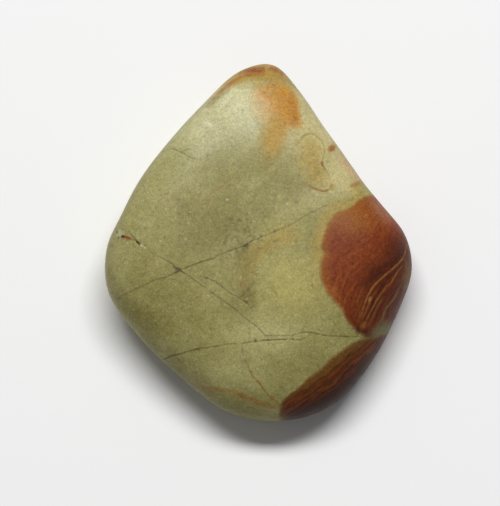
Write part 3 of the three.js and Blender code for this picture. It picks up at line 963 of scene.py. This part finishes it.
class PebbleColours(bpy.types.PropertyGroup):
    olive: colour_property("Olive", "The ground", "#8E8751")
    olive_shade: colour_property("Olive Shade", "The ground's darker clouds", "#837C48")
    olive_light: colour_property("Olive Light", "The ground's lighter clouds", "#9B9561")
    pale_olive: colour_property("Pale Olive", "The lower part", "#ADA770")
    # Beige that also paints the sheen on the upper left.
    beige_and_sheen: colour_property("Beige", "The pale upper left", "#C4C095")
    # Cream that also paints a highlight on the right side.
    cream_and_highlight: colour_property("Cream", "The pale right side", "#BBB07C")
    # Painted light: the rim lit by light bounced off the paper.
    rim: colour_property("Rim", "The light rim", "#C8C47C")
    yellow_olive: colour_property("Yellow Olive", "The yellower middle", "#A79D5B")
    stain: colour_property("Stain", "The dark smudges", "#766D37")
    grey_green: colour_property("Grey Green", "The pale wedge between the patches", "#6A6040")
    ochre: colour_property("Ochre", "The stains around the patches", "#A78A3C")
    peach: colour_property("Peach", "The orange cloud's thin part", "#C8985A")
    # Also painted as a faint sheen on the brick patch's upper right.
    pink_beige: colour_property("Pink Beige", "The pinkish skin of the right rim", "#BE9A70")
    orange: colour_property("Orange", "The orange cloud", "#B48033")
    tan_brown: colour_property("Tan Brown", "The bands in the brick patch", "#9A6A34")
    olive_tan: colour_property("Olive Tan", "The greenish band in the brick patch", "#7C6C3C")
    ring_brown: colour_property("Ring Brown", "The thin ring on the right", "#855C22")
    golden_brown: colour_property("Golden Brown", "The brown patch's upper edge", "#674318")
    rust_brown: colour_property("Rust Brown", "The brown patch's lighter streaks", "#6E3812")
    orange_brown: colour_property("Orange Brown", "The rust veins and edges", "#935A1C")
    rust: colour_property("Rust", "The patches' rusty edge", "#8C4A1A")
    sienna: colour_property("Sienna", "The lighter brick", "#7E3A12")
    brick: colour_property("Brick", "The brick patch", "#6F2C0C")
    red_brown: colour_property("Red Brown", "The tip's darkest skin", "#86401C")
    dark_red: colour_property("Dark Red", "The dark red streaks", "#5A260C")
    dark_brown: colour_property("Dark Brown", "The brown streaks", "#45280E")
    maroon: colour_property("Maroon", "The darkest red streaks", "#431A0A")
    black_brown: colour_property("Black Brown", "The brown patch's lower edge", "#3A1C0B")
    crack: colour_property("Crack", "The healed cracks", "#453C1E")
    fissure: colour_property("Fissure", "The open fissure", "#33221A")
    fleck: colour_property("Fleck", "The pale flecks", "#D6D1B6")


class StageSettings(bpy.types.PropertyGroup):
    paper: colour_property("Paper", "The sheet that the stone lies on", "#EEEEEE")
    window_power: bpy.props.FloatProperty(
        name="Window Power", description="How strong the window light is", default=7.0, unit="POWER",
    )
    room_light: bpy.props.FloatProperty(
        name="Room Light", description="How bright the room around is", default=0.18, min=0.0,
    )


class PORCELLANITE_OT_make_pebble(bpy.types.Operator):
    """Makes the tumbled pebble and its porcellanite"""

    bl_idname = "porcellanite.make_pebble"
    bl_label = "Make Pebble"

    def execute(self, context):
        scene = context.scene
        pebble = model_pebble(scene.pebble_shape)
        pebble.data.materials.clear()
        pebble.data.materials.append(make_porcellanite(scene.pebble_colours))
        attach(pebble, BODY)
        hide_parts(CAD_NODE)
        return {"FINISHED"}


# Lengths are in millimetres, and angles in degrees with turns clockwise from the narrow end.

# The camera looks down steeply from the broad end.
CAMERA_TURN = 180.0
CAMERA_HEIGHT_ANGLE = 80.0
CAMERA_DISTANCE = 330.0
CAMERA_AIM = (-0.817, -1.121, 3.668)
CAMERA_LENS = 246.9
CAMERA_SENSOR = 36.0
CAMERA_NEAREST = 10.0

# A wide, low window beyond the narrow end, turned a little to the right of it.
WINDOW_TURN = 3.0
WINDOW_HEIGHT_ANGLE = 60.0
WINDOW_DISTANCE = 800.0
WINDOW_SIZE = (700.0, 170.0)
PAPER_SIZE = 2000.0


def look_from(turn, height_angle):
    """The direction in which something at this turn and height angle stands."""
    turn, height_angle = math.radians(turn), math.radians(height_angle)
    level = math.cos(height_angle)
    return Vector((math.sin(turn) * level, math.cos(turn) * level, math.sin(height_angle)))


def place_facing(thing, aim, away, distance):
    """Puts a camera or a light at a distance from what it faces."""
    thing.location = (Vector(aim) + away * distance) * MM
    thing.rotation_euler = away.to_track_quat("Z", "Y").to_euler()


class PORCELLANITE_OT_set_stage(bpy.types.Operator):
    """Lays the paper and sets the camera and the light"""

    bl_idname = "porcellanite.set_stage"
    bl_label = "Set Stage"

    def execute(self, context):
        scene = context.scene
        stage = scene.pebble_stage
        bpy.ops.object.select_all(action="DESELECT")
        bpy.ops.mesh.primitive_plane_add(size=PAPER_SIZE * MM, location=(0, 0, 0))
        paper = context.active_object
        paper.name = "paper"
        # Uncoated paper: white and dull.
        sheet = bpy.data.materials.new("uncoated_paper")
        sheet.use_nodes = True
        shader = sheet.node_tree.nodes["Principled BSDF"]
        shader.inputs["Base Color"].default_value = (*stage.paper, 1)
        shader.inputs["Roughness"].default_value = 0.9
        shader.inputs["Specular IOR Level"].default_value = 0.2
        paper.data.materials.append(sheet)

        camera_data = bpy.data.cameras.new("camera")
        camera_data.sensor_width = CAMERA_SENSOR
        camera_data.lens = CAMERA_LENS
        camera_data.clip_start = CAMERA_NEAREST * MM
        camera = bpy.data.objects.new("camera", camera_data)
        scene.collection.objects.link(camera)
        scene.camera = camera
        stand = look_from(CAMERA_TURN, CAMERA_HEIGHT_ANGLE)
        place_facing(camera, CAMERA_AIM, stand, CAMERA_DISTANCE)

        window_data = bpy.data.lights.new("window", "AREA")
        window_data.shape = "RECTANGLE"
        window_data.size = WINDOW_SIZE[0] * MM
        window_data.size_y = WINDOW_SIZE[1] * MM
        window_data.energy = stage.window_power
        window = bpy.data.objects.new("window", window_data)
        scene.collection.objects.link(window)
        stand = look_from(WINDOW_TURN, WINDOW_HEIGHT_ANGLE)
        place_facing(window, (0, 0, 0), stand, WINDOW_DISTANCE)

        room = bpy.data.worlds.new("room")
        room.use_nodes = True
        background = room.node_tree.nodes["Background"]
        background.inputs["Color"].default_value = (1, 1, 1, 1)
        background.inputs["Strength"].default_value = stage.room_light
        scene.world = room
        scene.view_settings.view_transform = "Standard"
        return {"FINISHED"}


class PORCELLANITE_PT_panel(bpy.types.Panel):
    bl_label = "Porcellanite Pebble"
    bl_idname = "PORCELLANITE_PT_panel"
    bl_space_type = "VIEW_3D"
    bl_region_type = "UI"
    bl_category = "Pebble"

    def draw(self, context):
        scene = context.scene
        for settings, operator in (
            (scene.pebble_shape, None),
            (scene.pebble_colours, PORCELLANITE_OT_make_pebble),
            (scene.pebble_stage, PORCELLANITE_OT_set_stage),
        ):
            box = self.layout.box()
            for name in settings.__annotations__:
                box.prop(settings, name)
            if operator:
                box.operator(operator.bl_idname)


CLASSES = (
    PebbleShape,
    PebbleColours,
    StageSettings,
    PORCELLANITE_OT_make_pebble,
    PORCELLANITE_OT_set_stage,
    PORCELLANITE_PT_panel,
)


def register():
    for item in CLASSES:
        bpy.utils.register_class(item)
    bpy.types.Scene.pebble_shape = bpy.props.PointerProperty(type=PebbleShape)
    bpy.types.Scene.pebble_colours = bpy.props.PointerProperty(type=PebbleColours)
    bpy.types.Scene.pebble_stage = bpy.props.PointerProperty(type=StageSettings)


def unregister():
    del bpy.types.Scene.pebble_stage
    del bpy.types.Scene.pebble_colours
    del bpy.types.Scene.pebble_shape
    for item in reversed(CLASSES):
        bpy.utils.unregister_class(item)


def main():
    """Makes the pebble and its stage."""
    register()
    bpy.ops.porcellanite.make_pebble()
    bpy.ops.porcellanite.set_stage()


if __name__ == "__main__":
    main()
